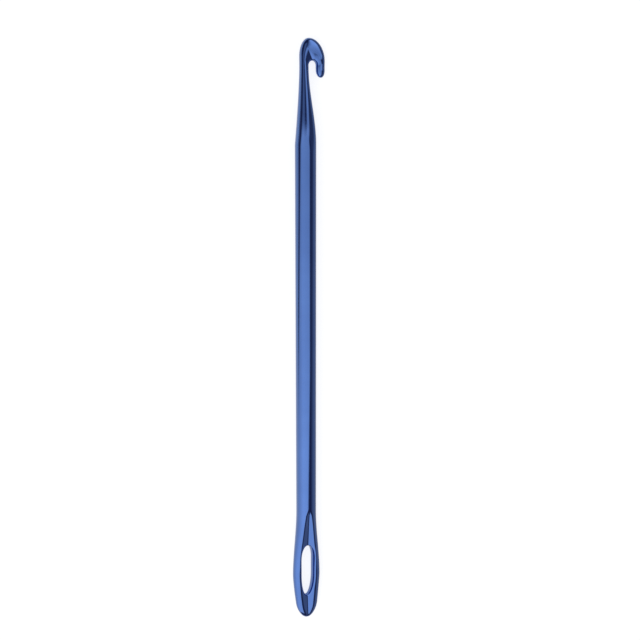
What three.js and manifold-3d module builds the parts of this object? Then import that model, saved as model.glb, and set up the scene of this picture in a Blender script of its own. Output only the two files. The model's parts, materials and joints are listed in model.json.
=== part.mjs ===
// A one-piece aluminium crochet hook for Tunisian work: a coined hook at one end, a plain round
// shaft, and a flattened end with a long eye that carries a cord through the finished loops.
//
// Millimetres. The hook lies along Y as it rests on a table: on the shaft and on the head's
// shoulder, with the lip towards +X. It is first modelled flat, with U across it towards the lip,
// Y along it and W out of its face, and then rolled about the shaft until the head touches down.
// The origin is under the middle of the shaft, on the line on which the shaft rests.

import * as THREE from 'three';
import { mergeVertices } from 'three/addons/utils/BufferGeometryUtils.js';
import Module from 'manifold-3d';

const wasm = await Module();
wasm.setup();

// Shaft
const SHAFT_DIAMETER = 6.0;
const SHAFT_LENGTH = 106.0;
const SHAFT_SIDES = 40;

// Neck, from the round shaft to the throat's centre
const NECK_LENGTH = 21.55;
const NECK_WIDTH = 2.4;
const NECK_THICKNESS = 3.4;
const NECK_BACK_DRAW = 1.5; // exponent of the back's inward curve: 1 is a straight taper

// Head: the throat is a round-ended slot, and the crown is the metal over it
const THROAT_WIDTH = 2.3;
const THROAT_OFFSET = 1.9; // from the shaft's axis to the throat's centre
const CROWN_HEIGHT = 6.05; // from the top of the throat to the tip of the hook
const CROWN_THICKNESS = 3.3;
const TIP_OFFSET = 0.9; // from the shaft's axis to the tip
const BACK_ROUNDING = 4.8; // length of the elliptic corner on the neck's side of the tip
const FRONT_ROUNDING = 6.5; // and of the longer one on the lip's side
const SHOULDER_THICKNESS = 3.0; // halfway round from the crown to the lip
const CROWN_PLACE = 0.45; // on the half turn round the throat, which is 0 at the neck and 1 at the lip
const SHOULDER_PLACE = 0.75;
const CROWN_BLUNTNESS = 0.5; // how much squarer than an ellipse the crown's section is

// Lip
const LIP_WIDTH = 2.5;
const LIP_LENGTH = 3.4; // from the throat's centre to the lip's end
const LIP_END_ROUNDING = 2.0;
const LIP_THICKNESS = 2.5;
const LIP_FLARE = 0.15; // how far the lip's end leans away from the neck

// Coined recess that leads into the throat, the same on both faces
const RECESS_LENGTH = 3.2; // from the throat's top to the recess's point
const RECESS_POINT_OFFSET = 0.2; // from the shaft's axis to the recess's point
const RECESS_EDGE_THICKNESS = 1.35; // of the web at the throat's top
const RECESS_POINT_BACK_SLOPE = 0.33; // rise of the back wall at the recess's point
const RECESS_POINT_LIP_SLOPE = 0.5; // and of the wall on the lip's side there
const RECESS_TOP_LIP_SLOPE = 0.9; // at the throat's top
const RECESS_SIDE_LIP_SLOPE = 0.5; // beside the throat's centre
const RECESS_END_LIP_SLOPE = 0.15; // at the lip's end
const RECESS_DRIFT = 0.3; // how far the crease moves to the lip from the throat's top to its centre
const RECESS_END_DRIFT = 0.4; // and by the lip's end
const RECESS_OVERRUN = 0.3; // how far the crease's line runs on past its point, as a part of its length
const NECK_BEVEL_SLOPE = 0.36; // fall of the neck's bevel across the hook
const NECK_BEVEL_FALL = 0.083; // and along it

// Eye end: a flattened oval paddle
const EYE_LENGTH = 38.9; // from the round shaft to the end
const EYE_WIDTH = 8.5;
const EYE_TAPER_START = 3.0; // from the round shaft to where the paddle starts to widen
const EYE_THICKNESS = 4.4;
const EYE_WIDEST = 24.5; // from the round shaft to the widest place
const EYE_END_WIDTH = 5.6;
const EYE_END_THICKNESS = 2.8;
const EYE_END_ROUNDING = 5.0;
const EYE_FLATNESS = 2.3; // exponent of the paddle's section: 2 is an ellipse
const EYE_END_DRAW = 1.3; // exponent of the narrowing to the end: 1 is a straight taper
const EYE_END_DRIFT = 0.27; // how far the end leans to the lip's side

// Slot through the eye, with a wall that is rounded from face to face
const SLOT_WIDTH = 3.06; // at its narrowest, halfway through the metal
const SLOT_LENGTH = 16.4;
const SLOT_START = 14.73; // from the round shaft
const SLOT_NEAR_ROUNDING = 4.5; // length of its elliptic end on the shaft's side
const SLOT_FAR_ROUNDING = 7.0; // and of the longer one towards the eye's end
const SLOT_FLARE_WIDTH = 2.6; // half-axes of the ellipse that the wall follows to either face
const SLOT_FLARE_HEIGHT = 2.3;

// V-shaped groove pressed along both faces of the eye end. Depths are below the paddle's widest
// face, slopes are the rise of the walls to either side.
const GROOVE_START = 2.3; // from the round shaft to the groove's point
const GROOVE_LEAD = 1.7; // from the groove's point to its first full depth
const GROOVE_STEP = 0.5; // depth in the round shaft at the end of the lead
const GROOVE_FALL = 0.45; // further fall from there to halfway to the slot
const GROOVE_SLOPE = 0.42; // as far as halfway to the slot
const GROOVE_SLOT_DEPTH = 0.9; // at the slot's near end
const GROOVE_SLOT_SLOPE = 0.38;
const GROOVE_MIDDLE_DEPTH = 1.15; // halfway along the slot
const GROOVE_MIDDLE_SLOPE = 0.3;
const GROOVE_FAR_DEPTH = 1.45; // at the slot's far end
const GROOVE_FAR_SLOPE = 0.42;
const GROOVE_END_DEPTH = 1.4; // at the eye's end
const GROOVE_END_SLOPE = 0.48;

const CUTTER_REACH = 5.0; // how far cutters stand out past the metal
const CUTTER_MARGIN = 1.0; // how far a groove's cutter runs on past the end of the metal
const STEEP = 20; // slope of a cutter's wall that stands clear of the metal
const TOUCH_MARGIN = 0.01; // how far past the round shaft a point of the head counts as a shoulder

const shaftRadius = SHAFT_DIAMETER / 2;
const shaftEnd = SHAFT_LENGTH / 2;
const throatRadius = THROAT_WIDTH / 2;
const throat = new THREE.Vector2(THROAT_OFFSET, shaftEnd + NECK_LENGTH);
const neckBack = THROAT_OFFSET - throatRadius - NECK_WIDTH;
const lipFront = THROAT_OFFSET + throatRadius + LIP_WIDTH;
const tip = new THREE.Vector2(TIP_OFFSET, throat.y + throatRadius + CROWN_HEIGHT);

const mix = THREE.MathUtils.lerp;
const ease = (t) => THREE.MathUtils.smoothstep(t, 0, 1);

// A section is a flattened circle in a plane square to the hook's face. centre is its place in
// the flat hook's U and Y, across is the unit direction of its half-width.
function section(centre, across, halfWidth, halfThickness, exponent = 2) {
  return { centre, across, halfWidth, halfThickness, exponent };
}

function sectionPoint({ centre, across, halfWidth, halfThickness, exponent }, angle) {
  const flatten = (value) => Math.sign(value) * Math.abs(value) ** (2 / exponent);
  const offset = halfWidth * flatten(Math.cos(angle));
  const height = halfThickness * flatten(Math.sin(angle));
  return new THREE.Vector3(centre.x + across.x * offset, centre.y + across.y * offset, height);
}

const acrossHook = new THREE.Vector2(1, 0);

// How much of its width an elliptic rounding leaves at a distance from its end
const roundingAt = (distance, rounding) => {
  const inset = Math.max(0, 1 - distance / rounding);
  return Math.sqrt(1 - inset * inset);
};

// Distances that crowd towards a rounded end, so that its curve stays smooth
const crowded = (length, steps) =>
  Array.from({ length: steps }, (_, i) => length * Math.sin((Math.PI / 2) * ((i + 1) / steps)) ** 2);

function neckSection(y) {
  const t = (y - shaftEnd) / NECK_LENGTH;
  const back = mix(-shaftRadius, neckBack, 1 - (1 - t) ** NECK_BACK_DRAW);
  const front = mix(shaftRadius, THROAT_OFFSET - throatRadius, ease(t));
  const halfThickness = mix(shaftRadius, NECK_THICKNESS / 2, ease(t));
  return section(new THREE.Vector2((back + front) / 2, y), acrossHook, (front - back) / 2, halfThickness);
}

// Distance from the throat's centre to the head's outline. The outline is a straight side, an
// elliptic corner up to the tip, the other corner down from it and the lip's straight side.
function outlineDistance(direction) {
  const tipAngle = tip.clone().sub(throat).angle();
  const onBack = direction.angle() > tipAngle;
  const side = onBack ? neckBack : lipFront;
  const rounding = onBack ? BACK_ROUNDING : FRONT_ROUNDING;
  const cornerFoot = tip.y - rounding;
  const toSide = (side - throat.x) / direction.x;
  if (toSide > 0 && throat.y + toSide * direction.y <= cornerFoot) return toSide;
  const semi = new THREE.Vector2(Math.abs(side - tip.x), rounding);
  const start = throat.clone().sub(new THREE.Vector2(tip.x, cornerFoot)).divide(semi);
  const step = direction.clone().divide(semi);
  const along = start.dot(step) / step.lengthSq();
  return Math.sqrt(along * along - (start.lengthSq() - 1) / step.lengthSq()) - along;
}

// Half-thickness of the metal around the throat: t is 0 at the neck and 1 at the lip
function headHalfThickness(t) {
  const stops = [NECK_THICKNESS, CROWN_THICKNESS, SHOULDER_THICKNESS, LIP_THICKNESS];
  const places = [0, CROWN_PLACE, SHOULDER_PLACE, 1];
  const i = t < places[1] ? 0 : t < places[2] ? 1 : 2;
  return mix(stops[i], stops[i + 1], ease((t - places[i]) / (places[i + 1] - places[i]))) / 2;
}

// Sections that swing round the throat's centre, from the neck over the crown to the lip
function crownSection(t) {
  const angle = Math.PI * (1 - t);
  const outward = new THREE.Vector2(Math.cos(angle), Math.sin(angle));
  const outer = outlineDistance(outward);
  const centre = throat.clone().addScaledVector(outward, (throatRadius + outer) / 2);
  const bluntness = 2 + CROWN_BLUNTNESS * Math.sin(Math.PI * t);
  return section(centre, outward.negate(), (outer - throatRadius) / 2, headHalfThickness(t), bluntness);
}

function lipSection(distanceFromEnd) {
  const t = 1 - distanceFromEnd / LIP_LENGTH;
  const rounding = roundingAt(distanceFromEnd, LIP_END_ROUNDING);
  const middle = THROAT_OFFSET + throatRadius + LIP_WIDTH / 2 + LIP_FLARE * t * t;
  const centre = new THREE.Vector2(middle, throat.y - t * LIP_LENGTH);
  const towardsNeck = acrossHook.clone().negate();
  return section(centre, towardsNeck, (rounding * LIP_WIDTH) / 2, (rounding * LIP_THICKNESS) / 2);
}

function headSections() {
  const neckSteps = 12;
  const crownSteps = 30;
  const lipSteps = 8;
  const neckStep = NECK_LENGTH / neckSteps;
  const neck = Array.from({ length: neckSteps }, (_, i) => neckSection(shaftEnd + neckStep * i));
  const crown = Array.from({ length: crownSteps + 1 }, (_, i) => crownSection(i / crownSteps));
  const lip = crowded(LIP_LENGTH, lipSteps).slice(0, -1).reverse().map(lipSection);
  return [...neck, ...crown, ...lip];
}

// Distances along the eye end are from the round shaft. This is 0 as far as the widest place and
// 1 at the end.
const towardsEyeEnd = (distance) =>
  Math.max(0, (distance - EYE_WIDEST) / (EYE_LENGTH - EYE_WIDEST));

// The middle of the eye end, which leans to the lip's side past the widest place
function eyeMiddle(distance) {
  return new THREE.Vector2(EYE_END_DRIFT * towardsEyeEnd(distance) ** 2, -shaftEnd - distance);
}

function eyeSection(distance) {
  const towardsEnd = towardsEyeEnd(distance);
  const widening = ease((distance - EYE_TAPER_START) / (EYE_WIDEST - EYE_TAPER_START));
  const rounding = roundingAt(EYE_LENGTH - distance, EYE_END_ROUNDING);
  const width = mix(mix(SHAFT_DIAMETER, EYE_WIDTH, widening), EYE_END_WIDTH, towardsEnd ** EYE_END_DRAW);
  const thickness = mix(mix(SHAFT_DIAMETER, EYE_THICKNESS, widening), EYE_END_THICKNESS, towardsEnd);
  const exponent = mix(2, EYE_FLATNESS, widening);
  const halfWidth = (rounding * width) / 2;
  const halfThickness = (rounding * thickness) / 2;
  return section(eyeMiddle(distance), acrossHook, halfWidth, halfThickness, exponent);
}

function eyeSections() {
  const paddleSteps = 24;
  const endSteps = 8;
  const paddleLength = EYE_LENGTH - EYE_END_ROUNDING;
  const paddle = Array.from({ length: paddleSteps }, (_, i) => (paddleLength * i) / paddleSteps);
  const end = crowded(EYE_END_ROUNDING, endSteps).map((fromEnd) => EYE_LENGTH - fromEnd).reverse();
  return [...paddle, ...end].map(eyeSection).reverse();
}

// Angle through which the flat hook rolls about the shaft before its head meets the table
function rollUntilTouching(sections, restHeight) {
  const samples = 96;
  let roll = Math.PI / 2;
  for (const one of sections) {
    for (let i = 0; i < samples; i += 1) {
      const point = sectionPoint(one, (2 * Math.PI * i) / samples);
      const reach = Math.hypot(point.x, point.z);
      if (point.x <= 0 || reach <= shaftRadius + TOUCH_MARGIN) continue;
      roll = Math.min(roll, Math.asin(restHeight / reach) - Math.atan2(Math.abs(point.z), point.x));
    }
  }
  return roll;
}

// The shaft rests on the middle of one facet
const restHeight = shaftRadius * Math.cos(Math.PI / SHAFT_SIDES);
const restRoll = rollUntilTouching(headSections(), restHeight);
const firstAngle = restRoll - Math.PI / 2 + Math.PI / SHAFT_SIDES;

function ring(one) {
  return Array.from({ length: SHAFT_SIDES }, (_, i) =>
    sectionPoint(one, firstAngle + (2 * Math.PI * i) / SHAFT_SIDES));
}

// A closed solid from rings of equally many points. A cap is the point that closes a rounded
// end, or is left out at a flat end.
function loft(rings, firstCap, lastCap) {
  const count = rings[0].length;
  const middleOf = (points) =>
    points.reduce((sum, point) => sum.add(point), new THREE.Vector3()).divideScalar(count);
  const points = [...rings.flat(), firstCap ?? middleOf(rings[0]), lastCap ?? middleOf(rings.at(-1))];
  const triangles = [];
  for (let r = 0; r + 1 < rings.length; r += 1) {
    for (let i = 0; i < count; i += 1) {
      const a = r * count + i;
      const b = r * count + ((i + 1) % count);
      triangles.push(a, a + count, b, b, a + count, b + count);
    }
  }
  const first = points.length - 2;
  const lastRing = (rings.length - 1) * count;
  for (let i = 0; i < count; i += 1) {
    const next = (i + 1) % count;
    triangles.push(first, i, next);
    triangles.push(first + 1, lastRing + next, lastRing + i);
  }
  return outward(geometryOf(points.flatMap((point) => point.toArray()), triangles));
}

function geometryOf(positions, triangles) {
  const geometry = new THREE.BufferGeometry();
  geometry.setAttribute('position', new THREE.Float32BufferAttribute(positions, 3));
  geometry.setIndex(triangles);
  return geometry;
}

function signedVolume(geometry) {
  const corners = geometry.toNonIndexed().getAttribute('position');
  const [a, b, c] = [new THREE.Vector3(), new THREE.Vector3(), new THREE.Vector3()];
  let volume = 0;
  for (let i = 0; i < corners.count; i += 3) {
    a.fromBufferAttribute(corners, i);
    b.fromBufferAttribute(corners, i + 1);
    c.fromBufferAttribute(corners, i + 2);
    volume += a.dot(b.cross(c)) / 6;
  }
  return volume;
}

// The same surface with its faces pointing out
function outward(geometry) {
  if (signedVolume(geometry) < 0) geometry.setIndex(Array.from(geometry.index.array).reverse());
  return geometry;
}

function solid(geometry) {
  const merged = mergeVertices(geometry);
  return new wasm.Manifold(new wasm.Mesh({
    numProp: 3,
    vertProperties: merged.getAttribute('position').array,
    triVerts: new Uint32Array(merged.index.array),
  }));
}

function geometryFromSolid(body) {
  const mesh = body.getMesh();
  return geometryOf(Array.from(mesh.vertProperties), Array.from(mesh.triVerts));
}

// A pair of V-shaped cutters, one for each face. Each station gives the groove's crease, at u
// across the hook, y along it and w above its middle plane, and how steeply its walls rise on
// the back side and on the lip side.
function grooveCutters(stations) {
  const top = CUTTER_REACH;
  return [1, -1].map((face) => solid(loft(stations.map(({ u, y, w, backSlope, lipSlope }) => [
    new THREE.Vector3(u, y, w * face),
    new THREE.Vector3(u + (top - w) / lipSlope, y, top * face),
    new THREE.Vector3(u - (top - w) / backSlope, y, top * face),
  ]))));
}

// The recess around the throat. Its back wall is one plane: it runs down the neck as a bevel,
// and its crease rises from the throat to a point on the crown. Its lip wall ends at the lip.
function throatRecess() {
  const throatTop = throat.y + throatRadius;
  const edge = RECESS_EDGE_THICKNESS / 2;
  const fall = (u, y) => NECK_BEVEL_SLOPE * (u - THROAT_OFFSET) + NECK_BEVEL_FALL * (y - throatTop);
  const onBevel = (u, y, lipSlope) => ({ u, y, w: edge - fall(u, y), backSlope: NECK_BEVEL_SLOPE, lipSlope });
  const lipEnd = throat.y - LIP_LENGTH;
  const pastHook = lipFront + LIP_FLARE;
  const lead = RECESS_DRIFT / 2; // over which the cutter opens from a plain bevel to a recess
  const beyond = 1 + RECESS_OVERRUN;
  return [
    onBevel(pastHook, shaftEnd - SHAFT_DIAMETER / 2, STEEP),
    onBevel(pastHook, lipEnd - RECESS_END_DRIFT - lead, STEEP),
    onBevel(THROAT_OFFSET + RECESS_END_DRIFT, lipEnd - lead, RECESS_END_LIP_SLOPE),
    onBevel(THROAT_OFFSET + RECESS_DRIFT, throat.y, RECESS_SIDE_LIP_SLOPE),
    onBevel(THROAT_OFFSET, throatTop, RECESS_TOP_LIP_SLOPE),
    {
      u: mix(THROAT_OFFSET, RECESS_POINT_OFFSET, beyond),
      y: throatTop + RECESS_LENGTH * beyond,
      w: mix(edge, CROWN_THICKNESS / 2, beyond),
      backSlope: RECESS_POINT_BACK_SLOPE,
      lipSlope: RECESS_POINT_LIP_SLOPE,
    },
  ];
}

// The groove along the eye end, with its crease falling to the slot and on to the end
function eyeGroove() {
  const station = (distance, w, slope) => {
    const { x: u, y } = eyeMiddle(distance);
    return { u, y, w, backSlope: slope, lipSlope: slope };
  };
  const face = EYE_THICKNESS / 2;
  return [
    station(GROOVE_START - GROOVE_LEAD, shaftRadius + GROOVE_STEP, GROOVE_SLOPE),
    station(GROOVE_START + GROOVE_LEAD, shaftRadius - GROOVE_STEP, GROOVE_SLOPE),
    station(SLOT_START / 2, shaftRadius - GROOVE_STEP - GROOVE_FALL, GROOVE_SLOPE),
    station(SLOT_START, face - GROOVE_SLOT_DEPTH, GROOVE_SLOT_SLOPE),
    station(SLOT_START + SLOT_LENGTH / 2, face - GROOVE_MIDDLE_DEPTH, GROOVE_MIDDLE_SLOPE),
    station(SLOT_START + SLOT_LENGTH, face - GROOVE_FAR_DEPTH, GROOVE_FAR_SLOPE),
    station(EYE_LENGTH + CUTTER_MARGIN, face - GROOVE_END_DEPTH, GROOVE_END_SLOPE),
  ];
}

// Outline of the slot, grown all round by an offset, at a height above the middle plane
function slotOutline(offset, height) {
  const pointsPerEnd = 14;
  const start = -shaftEnd - SLOT_START;
  const ends = [
    { sign: 1, rounding: SLOT_NEAR_ROUNDING, foot: start - SLOT_NEAR_ROUNDING },
    { sign: -1, rounding: SLOT_FAR_ROUNDING, foot: start - SLOT_LENGTH + SLOT_FAR_ROUNDING },
  ];
  const outline = [];
  for (const { sign, rounding, foot } of ends) {
    for (let i = 0; i <= pointsPerEnd; i += 1) {
      const angle = (Math.PI * i) / pointsPerEnd;
      const u = sign * (SLOT_WIDTH / 2 + offset) * Math.cos(angle);
      const y = foot + sign * (rounding + offset) * Math.sin(angle);
      outline.push(new THREE.Vector3(u, y, height));
    }
  }
  return outline;
}

// The slot's wall follows a quarter of an ellipse from the middle plane out to either face
function slotCutter() {
  const stepsPerFace = 7;
  const outlines = [slotOutline(SLOT_FLARE_WIDTH, -CUTTER_REACH)];
  for (let i = -stepsPerFace; i <= stepsPerFace; i += 1) {
    const angle = (Math.PI / 2) * (i / stepsPerFace);
    const flare = SLOT_FLARE_WIDTH * (1 - Math.cos(angle));
    outlines.push(slotOutline(flare, SLOT_FLARE_HEIGHT * Math.sin(angle)));
  }
  outlines.push(slotOutline(SLOT_FLARE_WIDTH, CUTTER_REACH));
  return solid(loft(outlines));
}

function headGeometry() {
  const rings = headSections().map(ring);
  const end = throat.y - LIP_LENGTH;
  const lipEnd = new THREE.Vector3(lipFront - LIP_WIDTH / 2 + LIP_FLARE, end, 0);
  let body = solid(loft(rings, undefined, lipEnd));
  for (const cutter of grooveCutters(throatRecess())) body = body.subtract(cutter);
  return geometryFromSolid(body);
}

function shaftGeometry() {
  const roundAt = (y) => section(new THREE.Vector2(0, y), acrossHook, shaftRadius, shaftRadius);
  return loft([-shaftEnd, shaftEnd].map(roundAt).map(ring));
}

function eyeGeometry() {
  const rings = eyeSections().map(ring);
  const end = eyeMiddle(EYE_LENGTH);
  let body = solid(loft(rings, new THREE.Vector3(end.x, end.y, 0)));
  for (const cutter of grooveCutters(eyeGroove())) body = body.subtract(cutter);
  return geometryFromSolid(body.subtract(slotCutter()));
}

function anodisedAluminium() {
  return new THREE.MeshStandardMaterial({ color: 0x1f3f9c, roughness: 0.12, metalness: 1 });
}

function named(name, geometry) {
  const mesh = new THREE.Mesh(geometry, anodisedAluminium());
  mesh.name = name;
  return mesh;
}

const hook = new THREE.Group();
hook.rotation.y = restRoll;
hook.position.z = restHeight;
hook.add(named('hook_head', headGeometry()));
hook.add(named('shaft', shaftGeometry()));
hook.add(named('eye_end', eyeGeometry()));

export default hook;
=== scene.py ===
"""A Tunisian crochet hook of polished, blue anodised aluminium, lying on a pale floor.

The hook is one seamless skin, worked out in millimetres as the zero level of a distance formula.
It is described flat, as in the CAD source: u across the hook towards its lip, y along it towards
the hook end and w out of its face. The skin is then rolled about the shaft to lie as the CAD does.
"""

import functools
import json
import math

import bpy
import numpy as np
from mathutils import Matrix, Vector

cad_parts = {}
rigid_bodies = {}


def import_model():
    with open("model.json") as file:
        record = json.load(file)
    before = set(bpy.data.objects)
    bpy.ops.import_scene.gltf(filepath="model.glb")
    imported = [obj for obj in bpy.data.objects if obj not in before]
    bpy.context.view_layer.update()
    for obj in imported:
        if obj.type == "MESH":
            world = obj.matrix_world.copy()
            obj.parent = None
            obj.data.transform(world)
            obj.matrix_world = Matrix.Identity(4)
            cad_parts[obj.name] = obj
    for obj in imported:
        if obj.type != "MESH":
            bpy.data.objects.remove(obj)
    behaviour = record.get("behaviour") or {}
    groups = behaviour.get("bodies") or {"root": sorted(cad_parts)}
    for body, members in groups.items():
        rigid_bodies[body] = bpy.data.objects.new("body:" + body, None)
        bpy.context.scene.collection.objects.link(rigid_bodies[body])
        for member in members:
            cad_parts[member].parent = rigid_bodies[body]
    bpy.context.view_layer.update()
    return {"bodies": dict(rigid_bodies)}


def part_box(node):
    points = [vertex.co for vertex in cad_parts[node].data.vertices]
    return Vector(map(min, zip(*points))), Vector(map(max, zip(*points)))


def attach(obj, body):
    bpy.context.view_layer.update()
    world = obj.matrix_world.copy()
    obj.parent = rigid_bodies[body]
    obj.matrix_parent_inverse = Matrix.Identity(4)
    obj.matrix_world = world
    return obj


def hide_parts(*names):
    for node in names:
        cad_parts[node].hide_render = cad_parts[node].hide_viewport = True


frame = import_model()

MM = 0.001

# Taken from the frame
shaft_low, shaft_high = (np.array(corner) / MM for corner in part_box("shaft"))
eye_low, _ = (np.array(corner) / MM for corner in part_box("eye_end"))
_, head_high = (np.array(corner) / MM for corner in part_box("hook_head"))
shaft_end = shaft_high[1]
shaft_radius = (shaft_high[2] - shaft_low[2]) / 2
rest_height = (shaft_high[2] + shaft_low[2]) / 2
eye_length = shaft_low[1] - eye_low[1]

REST_ROLL = math.radians(21.73)  # about the shaft, at which the head's shoulder touches the floor

# Neck and head
NECK_LENGTH = 21.55
NECK_WIDTH = 2.4
NECK_THICKNESS = 3.4
NECK_BACK_DRAW = 1.5
THROAT_WIDTH = 2.3
THROAT_OFFSET = 1.9
CROWN_THICKNESS = 3.3
TIP_OFFSET = 0.9
BACK_ROUNDING = 4.8
FRONT_ROUNDING = 6.5
SHOULDER_THICKNESS = 3.0
CROWN_PLACE = 0.45
SHOULDER_PLACE = 0.75
CROWN_BLUNTNESS = 0.5

# Lip
LIP_WIDTH = 2.5
LIP_LENGTH = 3.4
LIP_END_ROUNDING = 2.0
LIP_THICKNESS = 2.5
LIP_END_THICKNESS = 2.1
LIP_FLARE = 0.15

# Recess around the throat, and the neck's bevel that runs down from it
RECESS_LENGTH = 3.2
RECESS_POINT_OFFSET = 0.2
RECESS_EDGE_THICKNESS = 1.35
RECESS_POINT_BACK_SLOPE = 0.33
RECESS_POINT_LIP_SLOPE = 0.5
RECESS_TOP_LIP_SLOPE = 0.9
RECESS_SIDE_LIP_SLOPE = 0.5
RECESS_END_LIP_SLOPE = 0.15
RECESS_DRIFT = 0.3
RECESS_END_DRIFT = 0.4
RECESS_OVERRUN = 0.3
NECK_BEVEL_SLOPE = 0.36
NECK_BEVEL_FALL = 0.083
STEEP = 20.0  # slope of a wall that stands nearly upright

# Eye end
EYE_WIDTH = 8.5
EYE_TAPER_START = 3.0
EYE_THICKNESS = 4.4
EYE_WIDEST = 24.5
EYE_END_WIDTH = 5.6
EYE_END_THICKNESS = 2.8
EYE_END_ROUNDING = 5.0
EYE_FLATNESS = 2.3
EYE_END_DRAW = 1.3
EYE_END_DRIFT = 0.27
SLOT_WIDTH = 3.4
SLOT_LENGTH = 16.53
SLOT_START = 14.6
SLOT_NEAR_ROUNDING = 4.5
SLOT_FAR_ROUNDING = 7.0
SLOT_FLARE_HEIGHT = 2.3
SLOT_FLARE_WIDTH = 1.65
GROOVE_START = 2.3
GROOVE_LEAD = 1.7
GROOVE_STEP = 0.5
GROOVE_FALL = 0.45
GROOVE_OVERRUN = 1.0
GROOVE_SLOPE = 0.42
GROOVE_SLOT_DEPTH = 0.9
GROOVE_SLOT_SLOPE = 0.38
GROOVE_MIDDLE_DEPTH = 1.15
GROOVE_MIDDLE_SLOPE = 0.3
GROOVE_FAR_DEPTH = 1.45
GROOVE_FAR_SLOPE = 0.42
GROOVE_END_DEPTH = 1.4
GROOVE_END_SLOPE = 0.48

# Rounding of edges and creases, as the difference of two distances at which they start to blend
EDGE_ROUNDING = 0.3
CREASE_ROUNDING = 0.2
SLOT_EDGE_ROUNDING = 0.25

TINY = 1e-6
ALMOST_FULL = 0.98

throat_radius = THROAT_WIDTH / 2
throat_y = shaft_end + NECK_LENGTH
throat_top = throat_y + throat_radius
neck_back = THROAT_OFFSET - throat_radius - NECK_WIDTH
lip_front = THROAT_OFFSET + throat_radius + LIP_WIDTH
lip_end = throat_y - LIP_LENGTH
tip_y = head_high[1]


def mix(a, b, share):
    return a + (b - a) * share


def ease(share):
    share = np.clip(share, 0.0, 1.0)
    return share * share * (3.0 - 2.0 * share)


def smooth_max(a, b, rounding):
    overlap = np.maximum(rounding - np.abs(a - b), 0.0)
    return np.maximum(a, b) + overlap**2 / (4.0 * rounding)


def smooth_min(a, b, rounding):
    return -smooth_max(-a, -b, rounding)


def closing_in(from_end, rounding):
    """0 along a bar, rising to 1 at its rounded end and past 1 beyond it."""
    return np.maximum(0.0, 1.0 - from_end / rounding)


def section_distance(across, out, half_width, half_thickness, exponent=2.0, closing=0.0, rounding=1.0):
    """Distance out of a bar whose section is a flattened circle, and whose end may close in."""
    a = np.abs(across) / half_width + TINY
    b = np.abs(out) / half_thickness + TINY
    level = (a**exponent + b**exponent) ** (1.0 / exponent)
    steepness = np.hypot(a ** (exponent - 1.0) / half_width, b ** (exponent - 1.0) / half_thickness)
    slope = level ** (1.0 - exponent) * steepness
    closed_level = np.hypot(level, closing)
    closed_slope = np.hypot(level * slope, closing / rounding) / closed_level
    return (closed_level - 1.0) / closed_slope


def neck_distance(u, y, w):
    share = np.clip((y - shaft_end) / NECK_LENGTH, 0.0, 1.0)
    back = mix(-shaft_radius, neck_back, 1.0 - (1.0 - share) ** NECK_BACK_DRAW)
    front = mix(shaft_radius, THROAT_OFFSET - throat_radius, ease(share))
    half_thickness = mix(shaft_radius, NECK_THICKNESS / 2, ease(share))
    return section_distance(u - (back + front) / 2, w, (front - back) / 2, half_thickness)


def corner_reach(direction_u, direction_y, side, rounding):
    """How far a ray from the throat's centre runs to an outline of a straight side and the
    elliptic corner between it and the tip."""
    foot = tip_y - rounding
    to_side = (side - THROAT_OFFSET) / np.where(np.abs(direction_u) < TINY, TINY, direction_u)
    meets_side = (to_side > 0) & (throat_y + to_side * direction_y <= foot)
    semi_u = abs(side - TIP_OFFSET)
    start_u = (THROAT_OFFSET - TIP_OFFSET) / semi_u
    start_y = (throat_y - foot) / rounding
    step_u = direction_u / semi_u
    step_y = direction_y / rounding
    step = step_u**2 + step_y**2
    along = (start_u * step_u + start_y * step_y) / step
    room = along**2 - (start_u**2 + start_y**2 - 1.0) / step
    return np.where(meets_side, to_side, np.sqrt(np.maximum(room, 0.0)) - along)


def head_half_thickness(share):
    """share is 0 at the neck and 1 at the lip, on the half turn round the throat."""
    to_crown = ease(share / CROWN_PLACE)
    to_shoulder = ease((share - CROWN_PLACE) / (SHOULDER_PLACE - CROWN_PLACE))
    to_lip = ease((share - SHOULDER_PLACE) / (1.0 - SHOULDER_PLACE))
    thickness = mix(NECK_THICKNESS, CROWN_THICKNESS, to_crown)
    thickness = mix(thickness, SHOULDER_THICKNESS, to_shoulder)
    return mix(thickness, LIP_THICKNESS, to_lip) / 2


def crown_distance(u, y, w):
    """Distance out of the bar that swings round the throat's centre."""
    angle = np.arctan2(np.maximum(y - throat_y, 0.0), u - THROAT_OFFSET)
    share = 1.0 - angle / math.pi
    direction_u, direction_y = np.cos(angle), np.sin(angle)
    tip_angle = math.atan2(tip_y - throat_y, TIP_OFFSET - THROAT_OFFSET)
    outer = np.where(
        angle > tip_angle,
        corner_reach(direction_u, direction_y, neck_back, BACK_ROUNDING),
        corner_reach(direction_u, direction_y, lip_front, FRONT_ROUNDING),
    )
    reach = np.hypot(u - THROAT_OFFSET, y - throat_y)
    bluntness = 2.0 + CROWN_BLUNTNESS * np.sin(math.pi * share)
    middle = (outer + throat_radius) / 2
    return section_distance(
        reach - middle, w, (outer - throat_radius) / 2, head_half_thickness(share), bluntness
    )


def lip_distance(u, y, w):
    from_end = y - lip_end
    along = 1.0 - from_end / LIP_LENGTH
    middle = THROAT_OFFSET + throat_radius + LIP_WIDTH / 2 + LIP_FLARE * along**2
    thickness = mix(LIP_THICKNESS, LIP_END_THICKNESS, np.clip(along, 0.0, 1.0))
    closing = closing_in(from_end, LIP_END_ROUNDING)
    return section_distance(
        u - middle, w, LIP_WIDTH / 2, thickness / 2, closing=closing, rounding=LIP_END_ROUNDING
    )


def eye_drift(along):
    """How far the eye end leans to the lip's side at a distance from the round shaft."""
    towards_end = np.maximum(0.0, (along - EYE_WIDEST) / (eye_length - EYE_WIDEST))
    return EYE_END_DRIFT * towards_end**2


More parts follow.
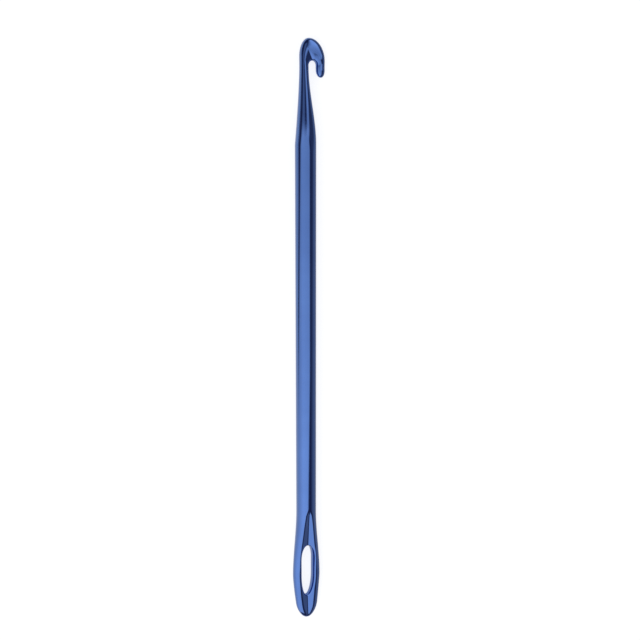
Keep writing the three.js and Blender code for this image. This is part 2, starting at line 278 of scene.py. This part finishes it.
def eye_distance(u, y, w):
    along = -shaft_end - y
    towards_end = np.maximum(0.0, (along - EYE_WIDEST) / (eye_length - EYE_WIDEST))
    widening = ease((along - EYE_TAPER_START) / (EYE_WIDEST - EYE_TAPER_START))
    width = mix(mix(2 * shaft_radius, EYE_WIDTH, widening), EYE_END_WIDTH, towards_end**EYE_END_DRAW)
    thickness = mix(mix(2 * shaft_radius, EYE_THICKNESS, widening), EYE_END_THICKNESS, towards_end)
    return section_distance(
        u - eye_drift(along),
        w,
        np.maximum(width, EYE_END_WIDTH / 2) / 2,
        np.maximum(thickness, EYE_END_THICKNESS / 2) / 2,
        mix(2.0, EYE_FLATNESS, widening),
        closing_in(eye_length - along, EYE_END_ROUNDING),
        EYE_END_ROUNDING,
    )


def bar_distance(u, y, w):
    """The formed bar before its faces are coined: eye end, shaft, neck, crown and lip."""
    hook_end = np.where(y > throat_y, crown_distance(u, y, w), neck_distance(u, y, w))
    beside_neck = np.where(y > throat_y, np.inf, lip_distance(u, y, w))
    return np.where(y < -shaft_end, eye_distance(u, y, w), np.minimum(hook_end, beside_neck))


def groove_depth(u, y, w, stations, rounding):
    """How deep a point lies in the air over a V-shaped groove on either face. Each station gives
    the crease's y, u and w and how steeply its walls rise on the back and on the lip's side."""
    ys, us, ws, back_slopes, lip_slopes = np.array(sorted(stations)).T
    to_lip = u - np.interp(y, ys, us)
    over = np.abs(w) - np.interp(y, ys, ws)
    back_slope = np.interp(y, ys, back_slopes)
    lip_slope = np.interp(y, ys, lip_slopes)
    over_back = (over + back_slope * to_lip) / np.hypot(1.0, back_slope)
    over_lip = (over - lip_slope * to_lip) / np.hypot(1.0, lip_slope)
    return smooth_min(over_back, over_lip, rounding)


def recess_stations():
    edge = RECESS_EDGE_THICKNESS / 2

    def on_bevel(u, y, lip_slope):
        fall = NECK_BEVEL_SLOPE * (u - THROAT_OFFSET) + NECK_BEVEL_FALL * (y - throat_top)
        return (y, u, edge - fall, NECK_BEVEL_SLOPE, lip_slope)

    past_hook = lip_front + LIP_FLARE
    lead = RECESS_DRIFT / 2
    beyond = 1.0 + RECESS_OVERRUN
    return [
        on_bevel(past_hook, shaft_end - shaft_radius, STEEP),
        on_bevel(past_hook, lip_end - RECESS_END_DRIFT - lead, STEEP),
        on_bevel(THROAT_OFFSET + RECESS_END_DRIFT, lip_end - lead, RECESS_END_LIP_SLOPE),
        on_bevel(THROAT_OFFSET + RECESS_DRIFT, throat_y, RECESS_SIDE_LIP_SLOPE),
        on_bevel(THROAT_OFFSET, throat_top, RECESS_TOP_LIP_SLOPE),
        (
            throat_top + RECESS_LENGTH * beyond,
            mix(THROAT_OFFSET, RECESS_POINT_OFFSET, beyond),
            mix(edge, CROWN_THICKNESS / 2, beyond),
            RECESS_POINT_BACK_SLOPE,
            RECESS_POINT_LIP_SLOPE,
        ),
    ]


def eye_groove_stations():
    face = EYE_THICKNESS / 2
    creases = [
        (GROOVE_START - GROOVE_LEAD, shaft_radius + GROOVE_STEP, GROOVE_SLOPE),
        (GROOVE_START + GROOVE_LEAD, shaft_radius - GROOVE_STEP, GROOVE_SLOPE),
        (SLOT_START / 2, shaft_radius - GROOVE_STEP - GROOVE_FALL, GROOVE_SLOPE),
        (SLOT_START, face - GROOVE_SLOT_DEPTH, GROOVE_SLOT_SLOPE),
        (SLOT_START + SLOT_LENGTH / 2, face - GROOVE_MIDDLE_DEPTH, GROOVE_MIDDLE_SLOPE),
        (SLOT_START + SLOT_LENGTH, face - GROOVE_FAR_DEPTH, GROOVE_FAR_SLOPE),
        (eye_length + GROOVE_OVERRUN, face - GROOVE_END_DEPTH, GROOVE_END_SLOPE),
    ]
    return [
        (-shaft_end - along, float(eye_drift(along)), height, slope, slope)
        for along, height, slope in creases
    ]


def slot_depth(u, y, w):
    """How deep a point lies in the air of the slot, whose wall is rounded from face to face."""
    along = -shaft_end - y - SLOT_START
    before_foot = np.maximum(0.0, SLOT_NEAR_ROUNDING - along)
    past_foot = np.maximum(0.0, along - (SLOT_LENGTH - SLOT_FAR_ROUNDING))
    rounding = np.where(past_foot > 0.0, SLOT_FAR_ROUNDING, SLOT_NEAR_ROUNDING)
    a = np.abs(u) / (SLOT_WIDTH / 2)
    b = (before_foot + past_foot) / rounding
    level = np.hypot(a, b) + TINY
    slope = np.hypot(a / (SLOT_WIDTH / 2), b / rounding) / level + TINY
    inside = (1.0 - level) / slope
    rise = np.minimum(np.abs(w) / SLOT_FLARE_HEIGHT, ALMOST_FULL)
    flare = SLOT_FLARE_WIDTH * (1.0 - np.sqrt(1.0 - rise**2))
    lean = SLOT_FLARE_WIDTH / SLOT_FLARE_HEIGHT * rise / np.sqrt(1.0 - rise**2)
    return (inside + flare) / np.hypot(1.0, lean)


def hook_distance(u, y, w):
    solid = bar_distance(u, y, w)
    recess = groove_depth(u, y, w, recess_stations(), CREASE_ROUNDING)
    in_head = smooth_max(solid, recess, EDGE_ROUNDING)
    groove = groove_depth(u, y, w, eye_groove_stations(), CREASE_ROUNDING)
    in_eye = smooth_max(smooth_max(solid, groove, EDGE_ROUNDING), slot_depth(u, y, w), SLOT_EDGE_ROUNDING)
    return np.where(y > shaft_end - shaft_radius, in_head, np.where(y < -shaft_end, in_eye, solid))


# Grid on which the skin is worked out
GRID_MARGIN = 0.7
GRID_FINE = 0.14
GRID_ALONG_EYE = 0.18
GRID_ALONG_NECK = 0.3
GRID_ALONG_SHAFT = 2.0

# Settling of the skin's points onto the surface
GRADIENT_STEP = 0.002
SETTLE_ROUNDS = 5
LEAST_SQUARED_SLOPE = 0.1
LEAST_SQUARED_EDGE = 1e-4


def grid_axes():
    """Grid lines along u, y and w: fine over the head and the eye, wide along the plain shaft."""
    margin = GRID_MARGIN
    sides = np.arange(-EYE_WIDTH / 2 - margin, lip_front + LIP_FLARE + margin, GRID_FINE)
    out = np.arange(-shaft_radius - margin, shaft_radius + margin, GRID_FINE)
    spans = [
        (-shaft_end - eye_length - margin, -shaft_end, GRID_ALONG_EYE),
        (-shaft_end, shaft_end - shaft_radius, GRID_ALONG_SHAFT),
        (shaft_end - shaft_radius, lip_end - margin, GRID_ALONG_NECK),
        (lip_end - margin, tip_y + margin, GRID_FINE),
    ]
    lines = []
    for low, high, step in spans:
        lines.append(np.linspace(low, high, math.ceil((high - low) / step), endpoint=False))
    return sides, np.concatenate(lines), out


def zero_skin(distance, axes):
    """Points and four-sided faces of the surface where distance is 0: one point in each grid cell
    that the surface crosses, and one face round each grid edge that it crosses."""
    value = distance(*np.meshgrid(*axes, indexing="ij"))
    shape = value.shape
    total = np.zeros((value.size, 3))
    count = np.zeros(value.size)
    faces = []
    for axis in range(3):
        near = np.moveaxis(value, axis, 0)[:-1]
        far = np.moveaxis(value, axis, 0)[1:]
        crossed = np.argwhere(np.moveaxis((near < 0) != (far < 0), 0, axis))
        ahead = crossed.copy()
        ahead[:, axis] += 1
        start, end = value[tuple(crossed.T)], value[tuple(ahead.T)]
        point = np.stack([axes[k][crossed[:, k]] for k in range(3)], axis=1)
        before, after = axes[axis][crossed[:, axis]], axes[axis][ahead[:, axis]]
        point[:, axis] = mix(before, after, start / (start - end))
        ring = []
        for step_one, step_two in ((0, 0), (1, 0), (1, 1), (0, 1)):
            cell = crossed.copy()
            cell[:, (axis + 1) % 3] -= step_one
            cell[:, (axis + 2) % 3] -= step_two
            index = np.ravel_multi_index(tuple(cell.T), shape)
            np.add.at(total, index, point)
            np.add.at(count, index, 1)
            ring.append(index)
        quads = np.stack(ring, axis=1)
        faces.append(np.where((start < 0)[:, None], quads, quads[:, ::-1]))
    used = np.flatnonzero(count)
    renumber = np.zeros(value.size, dtype=int)
    renumber[used] = np.arange(len(used))
    return total[used] / count[used, None], renumber[np.concatenate(faces)]


def gradient(distance, points):
    """How fast the distance rises along u, y and w at each point."""
    slopes = []
    for axis in range(3):
        ahead, behind = points.copy(), points.copy()
        ahead[:, axis] += GRADIENT_STEP
        behind[:, axis] -= GRADIENT_STEP
        slopes.append((distance(*ahead.T) - distance(*behind.T)) / (2 * GRADIENT_STEP))
    return np.stack(slopes, axis=1)


def settle(distance, points):
    """Moves points onto the surface and gives the unit normals there."""
    for _ in range(SETTLE_ROUNDS):
        slope = gradient(distance, points)
        height = distance(*points.T)[:, None]
        squared_slope = (slope**2).sum(axis=1, keepdims=True)
        points = points - height * slope / np.maximum(squared_slope, LEAST_SQUARED_SLOPE)
    slope = gradient(distance, points)
    return points, slope / np.linalg.norm(slope, axis=1, keepdims=True)


def sharpness(points, normals, quads):
    """Mean curvature at each point, in 1/mm: positive on an outer edge, negative in a crease."""
    total = np.zeros(len(points))
    count = np.zeros(len(points))
    for i in range(4):
        a, b = quads[:, i], quads[:, (i + 1) % 4]
        apart = points[b] - points[a]
        squared_length = np.maximum((apart**2).sum(axis=1), LEAST_SQUARED_EDGE)
        bend = ((normals[b] - normals[a]) * apart).sum(axis=1) / squared_length
        for end in (a, b):
            np.add.at(total, end, bend)
            np.add.at(count, end, 1)
    return total / np.maximum(count, 1)


def rolled(vectors):
    """From the flat hook's u, y and w to the frame's x, y and z, without the rest height."""
    u, y, w = vectors.T
    sine, cosine = math.sin(REST_ROLL), math.cos(REST_ROLL)
    return np.stack([u * cosine + w * sine, y, w * cosine - u * sine], axis=1)


def make_hook(material):
    points, quads = zero_skin(hook_distance, grid_axes())
    points, normals = settle(hook_distance, points)
    edges = sharpness(points, normals, quads)
    placed = (rolled(points) + np.array([0.0, 0.0, rest_height])) * MM
    mesh = bpy.data.meshes.new("crochet_hook")
    mesh.from_pydata(placed.tolist(), [], quads.tolist())
    mesh.attributes.new("sharpness", "FLOAT", "POINT").data.foreach_set("value", edges)
    mesh.shade_smooth()
    mesh.normals_split_custom_set_from_vertices(rolled(normals).tolist())
    mesh.materials.append(material)
    hook = bpy.data.objects.new("crochet_hook", mesh)
    bpy.context.scene.collection.objects.link(hook)
    return hook


class Nodes:
    """Short calls for building one node tree."""

    def __init__(self, tree):
        self.tree = tree
        tree.nodes.clear()

    def add(self, kind, settings=None, **inputs):
        node = self.tree.nodes.new(kind)
        for name, value in (settings or {}).items():
            setattr(node, name, value)
        for name, value in inputs.items():
            self.put(node, name.replace("_", " "), value)
        return node

    def put(self, node, socket, value):
        if isinstance(value, bpy.types.NodeSocket):
            self.tree.links.new(value, node.inputs[socket])
        else:
            node.inputs[socket].default_value = value

    def math(self, operation, first, second=0.0):
        node = self.add("ShaderNodeMath", {"operation": operation})
        self.put(node, 0, first)
        self.put(node, 1, second)
        return node.outputs[0]

    def blend(self, share, first, second):
        """Mixes two colours, which are inputs 6 and 7 of the node and its output 2."""
        node = self.add("ShaderNodeMix", {"data_type": "RGBA"})
        self.put(node, 0, share)
        self.put(node, 6, first)
        self.put(node, 7, second)
        return node.outputs[2]

    def product(self, *factors):
        return functools.reduce(lambda a, b: self.math("MULTIPLY", a, b), factors)

    def total(self, *terms):
        return functools.reduce(lambda a, b: self.math("ADD", a, b), terms)

    def ramp(self, value, at_nothing, at_full):
        """Rises smoothly from 0 to 1 between two values, in either order."""
        share = self.spread(value, at_nothing, at_full)
        return self.product(share, share, self.math("SUBTRACT", 3.0, self.product(share, 2.0)))

    def spread(self, value, low, high, to_low=0.0, to_high=1.0):
        node = self.add("ShaderNodeMapRange")
        for socket, setting in enumerate((value, low, high, to_low, to_high)):
            self.put(node, socket, setting)
        return node.outputs[0]

    def follow(self, value, stops):
        """Runs evenly between two stops and stays level past them. Each is a value and its result."""
        (low, to_low), (high, to_high) = stops
        return self.spread(value, low, high, to_low, to_high)

    def window(self, value, start, end, start_fade, end_fade):
        """1 between a start and an end, fading softly to 0 across each of them."""
        opening = self.ramp(self.math("SUBTRACT", value, start), -start_fade, start_fade)
        closing = self.ramp(self.math("SUBTRACT", end, value), -end_fade, end_fade)
        return self.product(opening, closing)


def node_material(name):
    material = bpy.data.materials.new(name)
    material.use_nodes = True
    return material, Nodes(material.node_tree)


# Anodised aluminium. Noise scales are per metre, and sharpness is in 1/mm.
DEEP_BLUE = (0.056, 0.170, 0.53, 1.0)
LIGHT_BLUE = (0.071, 0.200, 0.59, 1.0)
WORN_BLUE = (0.20, 0.33, 0.70, 1.0)
CLOUD_SCALE = 90.0
CLOUD_RANGE = (0.3, 0.7)
DRAWN_SCALE = 5200.0
DRAWN_STRETCH = 0.02
DRAWN_RELIEF = 0.6
HAZE_SCALE = 1400.0
HAZE_RELIEF = 0.4
HAZE_ROUGHNESS = ((0.3, 0.09), (0.75, 0.16))
WEAR_SHARPNESS = (1.5, 4.0)
WEAR_HAZE = (0.35, 0.7)
WEAR_COLOUR = 0.3
WEAR_ROUGHNESS = 0.06
POLISH_RELIEF = 0.05
RELIEF_DEPTH = 0.02
OXIDE_ROUGHNESS = 0.07
OXIDE_INDEX = 1.65


def anodised_aluminium():
    """Dyed metal under clear oxide: nearly even, with faint drawn lines, a haze of fine handling
    marks and dye worn thin along the outer edges."""
    material, nodes = node_material("anodised_aluminium")
    place = nodes.add("ShaderNodeTexCoord").outputs["Object"]
    drawn = nodes.add("ShaderNodeMapping", Vector=place, Scale=(1.0, DRAWN_STRETCH, 1.0)).outputs[0]
    cloud = nodes.add("ShaderNodeTexNoise", Vector=place, Scale=CLOUD_SCALE, Detail=3.0).outputs[0]
    lines = nodes.add("ShaderNodeTexNoise", Vector=drawn, Scale=DRAWN_SCALE, Detail=2.0).outputs[0]
    haze = nodes.add("ShaderNodeTexNoise", Vector=place, Scale=HAZE_SCALE, Detail=4.0).outputs[0]
    edge = nodes.add("ShaderNodeAttribute", {"attribute_name": "sharpness"}).outputs["Fac"]
    wear = nodes.product(nodes.spread(edge, *WEAR_SHARPNESS), nodes.spread(haze, *WEAR_HAZE))
    dye = nodes.blend(nodes.spread(cloud, *CLOUD_RANGE), DEEP_BLUE, LIGHT_BLUE)
    colour = nodes.blend(nodes.product(wear, WEAR_COLOUR), dye, WORN_BLUE)
    roughness = nodes.total(nodes.follow(haze, HAZE_ROUGHNESS), nodes.product(wear, WEAR_ROUGHNESS))
    relief = nodes.total(nodes.product(lines, DRAWN_RELIEF), nodes.product(haze, HAZE_RELIEF))
    bump = nodes.add(
        "ShaderNodeBump", Strength=POLISH_RELIEF, Distance=RELIEF_DEPTH * MM, Height=relief
    ).outputs[0]
    metal = nodes.add(
        "ShaderNodeBsdfPrincipled",
        Base_Color=colour,
        Metallic=1.0,
        Roughness=roughness,
        Normal=bump,
        Coat_Weight=1.0,
        Coat_Roughness=OXIDE_ROUGHNESS,
        Coat_IOR=OXIDE_INDEX,
    )
    nodes.add("ShaderNodeOutputMaterial", Surface=metal.outputs[0])
    return material


# Floor and studio, in millimetres, degrees and strengths. The paper's noise scale is per metre.
FLOOR_REACH = 2500
FLOOR_SHOWN = 0.78
FLOOR_REFLECTED = 0.4
PAPER_COLOUR = (0.8, 0.8, 0.8, 1.0)
PAPER_SCALE = 900.0
PAPER_RELIEF = 0.03
# The card's colour and glow: painted shade that the metal reflects on the lip's side
REFLECTED_SHADE_COLOUR = (0.9, 0.9, 1.0, 1.0)
CARD_REACH = 900
CARD_HEIGHT = 0.1
CARD_GAP = 2.0
REFLECTED_SHADE_GLOW = 0.32
WHITE = (1.0, 1.0, 1.0, 1.0)
STUDIO_LIGHT = 0.3
DARK_SIDE = (0.056, 0.049, 0.088, 1.0)
LAMP_POWER = 0.12
LAMP_SIZE = 300
LAMP_PLACE = (-150, -100, 400)
LAMP_TURN = (-14, -20, 0)


def floor_glow(nodes):
    """How far the floor is lifted to white for the rays that show it as a background: the camera's
    and glass's, and about half as far for those that metal sends on."""
    path = nodes.add("ShaderNodeLightPath").outputs
    shown = nodes.math("MAXIMUM", path["Is Camera Ray"], path["Is Transmission Ray"])
    return nodes.math(
        "MAXIMUM",
        nodes.math("MULTIPLY", shown, FLOOR_SHOWN),
        nodes.math("MULTIPLY", path["Is Glossy Ray"], FLOOR_REFLECTED),
    )


def floor_material():
    """Pale paper. The rays that show the background see it white, less the hook's shadow."""
    material, nodes = node_material("pale_paper")
    place = nodes.add("ShaderNodeTexCoord").outputs["Object"]
    fibre = nodes.add("ShaderNodeTexNoise", Vector=place, Scale=PAPER_SCALE, Detail=3.0).outputs[0]
    bump = nodes.add(
        "ShaderNodeBump", Strength=PAPER_RELIEF, Distance=RELIEF_DEPTH * MM, Height=fibre
    ).outputs[0]
    paper = nodes.add("ShaderNodeBsdfDiffuse", Color=PAPER_COLOUR, Normal=bump).outputs[0]
    glow = nodes.add("ShaderNodeEmission", Strength=floor_glow(nodes))
    both = nodes.add("ShaderNodeAddShader")
    nodes.put(both, 0, paper)
    nodes.put(both, 1, glow.outputs[0])
    nodes.add("ShaderNodeOutputMaterial", Surface=both.outputs[0])
    return material


def stage_mesh(name, corners, faces, material):
    """A sheet of the studio, its corners in millimetres."""
    mesh = bpy.data.meshes.new(name)
    mesh.from_pydata([[value * MM for value in corner] for corner in corners], [], faces)
    mesh.materials.append(material)
    sheet = bpy.data.objects.new(name, mesh)
    bpy.context.scene.collection.objects.link(sheet)
    return sheet


def only_reflected(sheet):
    """Leaves a sheet to be seen by the polished metal alone."""
    sheet.visible_camera = False
    sheet.visible_diffuse = False
    sheet.visible_transmission = False
    sheet.visible_volume_scatter = False
    sheet.visible_shadow = False


# The tent of cloth round the hook
TENT_RADIUS = 100
TENT_START = -320
TENT_END = 260
TENT_SIDE = 100
TENT_STEPS = 50

# The lights behind the cloth. LEFT, RIGHT, EDGE and FULL are angles from overhead towards the
# lip's side, and START, END, NEAR and FAR are places along the hook. A pair of stops gives a value
# at two places, but MAIN_LEFT_SHARE and MAIN_RIGHT_SHARE give theirs at two angles.
MAIN_END = 64
MAIN_LEFT = ((-68, -96), (47, -52))
MAIN_RIGHT = ((-110, 22), (-40, 45))
MAIN_FADE = 9
MAIN_GLOW = ((-118, 1.12), (43, 0.70))
MAIN_EYE_SHARE = ((-130, 0.86), (-100, 1.0))
MAIN_LEFT_SHARE = ((-80, 0.68), (-35, 1.0))
MAIN_RIGHT_SHARE = ((-15, 1.0), (35, 0.88))
SECOND_START = 60
SECOND_LEFT = ((75, 18), (110, 34))
SECOND_LEFT_FADE = 22
SECOND_RIGHT = ((60, 62), (125, 76))
SECOND_RIGHT_FADE = 8
SECOND_GLOW = ((70, 0.58), (115, 1.1))
STRIP_LEFT = ((75, -52), (110, -32))
STRIP_RIGHT = ((75, -18), (105, 8))
STRIP_END = 165
STRIP_GLOW = 0.25
SIDE_EDGE = 55
SIDE_FULL = 84
SIDE_GLOW = ((-110, 0.19), (70, 0.04))
BACK_EDGE = -70
BACK_FULL = -86
BACK_NEAR = 5
BACK_NEAR_FADE = 25
BACK_FAR = 70
BACK_FAR_FADE = 40
BACK_GLOW = 0.36
LIGHT_FADE = 5


def reflected_shade_card():
    """A dim sheet on the floor to the lip's side that only the metal sees. Its fixed glow is painted shade
    in the hook's reflection, darker than the floor it covers.
    """
    material, nodes = node_material("reflected_shade_card")
    # Painted shade: a set glow, lit by no lamp, that the metal reflects as a dimmer floor on the lip's
    # side
    glow = nodes.add("ShaderNodeEmission", Color=REFLECTED_SHADE_COLOUR, Strength=REFLECTED_SHADE_GLOW)
    nodes.add("ShaderNodeOutputMaterial", Surface=glow.outputs[0])
    near, far = shaft_radius + CARD_GAP, CARD_REACH
    outline = [(near, -far), (far, -far), (far, far), (near, far)]
    corners = [(x, y, CARD_HEIGHT) for x, y in outline]
    only_reflected(stage_mesh("reflected_shade_card", corners, [(0, 1, 2, 3)], material))


def tent_brightness(nodes):
    """How bright the tent is at each place: a long light overhead that ends short of the head, a
    second one past its end to the lip's side, a dim strip beside that one, a low light at the
    lip's side that grows towards the eye, and one at the back of the neck."""
    place_on_tent = nodes.add("ShaderNodeTexCoord").outputs["Object"]
    parts = nodes.add("ShaderNodeSeparateXYZ", Vector=place_on_tent).outputs
    across = nodes.math("MULTIPLY", nodes.math("ARCTAN2", parts["X"], parts["Z"]), 180 / math.pi)
    place = nodes.math("MULTIPLY", parts["Y"], 1 / MM)

    main = nodes.product(
        nodes.window(
            across, nodes.follow(place, MAIN_LEFT), nodes.follow(place, MAIN_RIGHT), MAIN_FADE, MAIN_FADE
        ),
        nodes.ramp(place, MAIN_END + LIGHT_FADE, MAIN_END - LIGHT_FADE),
        nodes.follow(place, MAIN_GLOW),
        nodes.follow(place, MAIN_EYE_SHARE),
        nodes.follow(across, MAIN_LEFT_SHARE),
        nodes.follow(across, MAIN_RIGHT_SHARE),
    )
    second = nodes.product(
        nodes.window(
            across,
            nodes.follow(place, SECOND_LEFT),
            nodes.follow(place, SECOND_RIGHT),
            SECOND_LEFT_FADE,
            SECOND_RIGHT_FADE,
        ),
        nodes.ramp(place, SECOND_START - LIGHT_FADE, SECOND_START + LIGHT_FADE),
        nodes.follow(place, SECOND_GLOW),
    )
    strip = nodes.product(
        nodes.window(
            across, nodes.follow(place, STRIP_LEFT), nodes.follow(place, STRIP_RIGHT), MAIN_FADE, MAIN_FADE
        ),
        nodes.window(place, SECOND_START, STRIP_END, LIGHT_FADE, LIGHT_FADE),
        STRIP_GLOW,
    )
    side = nodes.product(nodes.ramp(across, SIDE_EDGE, SIDE_FULL), nodes.follow(place, SIDE_GLOW))
    back = nodes.product(
        nodes.ramp(across, BACK_EDGE, BACK_FULL),
        nodes.window(place, BACK_NEAR, BACK_FAR, BACK_NEAR_FADE, BACK_FAR_FADE),
        BACK_GLOW,
    )
    return nodes.total(main, second, strip, side, back)


def light_tent():
    """A half pipe of cloth over the hook, lit from behind."""
    material, nodes = node_material("tent_cloth")
    lit = nodes.add("ShaderNodeEmission", Color=WHITE, Strength=tent_brightness(nodes))
    dark = nodes.add("ShaderNodeEmission", Color=DARK_SIDE, Strength=1.0)
    cloth = nodes.add("ShaderNodeAddShader")
    nodes.put(cloth, 0, lit.outputs[0])
    nodes.put(cloth, 1, dark.outputs[0])
    nodes.add("ShaderNodeOutputMaterial", Surface=cloth.outputs[0])
    angles = [math.radians(TENT_SIDE * (2 * i / TENT_STEPS - 1)) for i in range(TENT_STEPS + 1)]
    corners = [
        (TENT_RADIUS * math.sin(angle), place, TENT_RADIUS * math.cos(angle))
        for angle in angles for place in (TENT_START, TENT_END)
    ]
    faces = [(2 * i, 2 * i + 1, 2 * i + 3, 2 * i + 2) for i in range(TENT_STEPS)]
    tent = stage_mesh("light_tent", corners, faces, material)
    tent.location.z = rest_height * MM
    only_reflected(tent)


def make_world():
    """An even white studio, which is dark outside the tent for the metal."""
    world = bpy.data.worlds.new("studio")
    world.use_nodes = True
    nodes = Nodes(world.node_tree)
    path = nodes.add("ShaderNodeLightPath").outputs
    shown = nodes.math("MAXIMUM", path["Is Camera Ray"], path["Is Transmission Ray"])
    level = nodes.spread(shown, 0, 1, STUDIO_LIGHT, 1.0)
    even = nodes.add("ShaderNodeBackground", Color=WHITE, Strength=level)
    dark = nodes.add("ShaderNodeBackground", Color=DARK_SIDE, Strength=1.0)
    either = nodes.add("ShaderNodeMixShader")
    nodes.put(either, 0, path["Is Glossy Ray"])
    nodes.put(either, 1, even.outputs[0])
    nodes.put(either, 2, dark.outputs[0])
    nodes.add("ShaderNodeOutputWorld", Surface=either.outputs[0])
    bpy.context.scene.world = world


def make_lamp():
    """A wide lamp that gives the soft shadow. It doesn't show in the metal."""
    light = bpy.data.lights.new("softbox", "AREA")
    light.size = LAMP_SIZE * MM
    light.energy = LAMP_POWER
    lamp = bpy.data.objects.new("softbox", light)
    lamp.location = [value * MM for value in LAMP_PLACE]
    lamp.rotation_euler = [math.radians(angle) for angle in LAMP_TURN]
    lamp.visible_glossy = False
    bpy.context.scene.collection.objects.link(lamp)


# Camera, by the photograph's perspective
CAMERA_DISTANCE = 300.0
CAMERA_TILT = math.radians(13.78)
CAMERA_AIM = 3.0  # along the shaft, at the height of its axis
CAMERA_SIDE = 4.09
CAMERA_LENS = 58.39
CAMERA_SENSOR = 36.0
CAMERA_NEAR = 10.0
CAMERA_TURN = math.radians(0.1)  # about the line of sight


def make_camera():
    camera = bpy.data.cameras.new("camera")
    camera.lens = CAMERA_LENS
    camera.sensor_width = CAMERA_SENSOR
    camera.clip_start = CAMERA_NEAR * MM
    body = bpy.data.objects.new("camera", camera)
    body.location = (
        CAMERA_SIDE * MM,
        (CAMERA_AIM + CAMERA_DISTANCE * math.sin(CAMERA_TILT)) * MM,
        (rest_height + CAMERA_DISTANCE * math.cos(CAMERA_TILT)) * MM,
    )
    body.rotation_mode = "ZXY"
    body.rotation_euler = (-CAMERA_TILT, 0, CAMERA_TURN)
    bpy.context.scene.collection.objects.link(body)
    bpy.context.scene.camera = body


hook = make_hook(anodised_aluminium())
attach(hook, list(frame["bodies"])[0])
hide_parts("hook_head", "shaft", "eye_end")

stage_mesh("floor", [
    (-FLOOR_REACH, -FLOOR_REACH, 0), (FLOOR_REACH, -FLOOR_REACH, 0),
    (FLOOR_REACH, FLOOR_REACH, 0), (-FLOOR_REACH, FLOOR_REACH, 0),
], [(0, 1, 2, 3)], floor_material())
reflected_shade_card()
light_tent()
make_world()
make_lamp()
make_camera()
bpy.context.scene.view_settings.view_transform = "Standard"
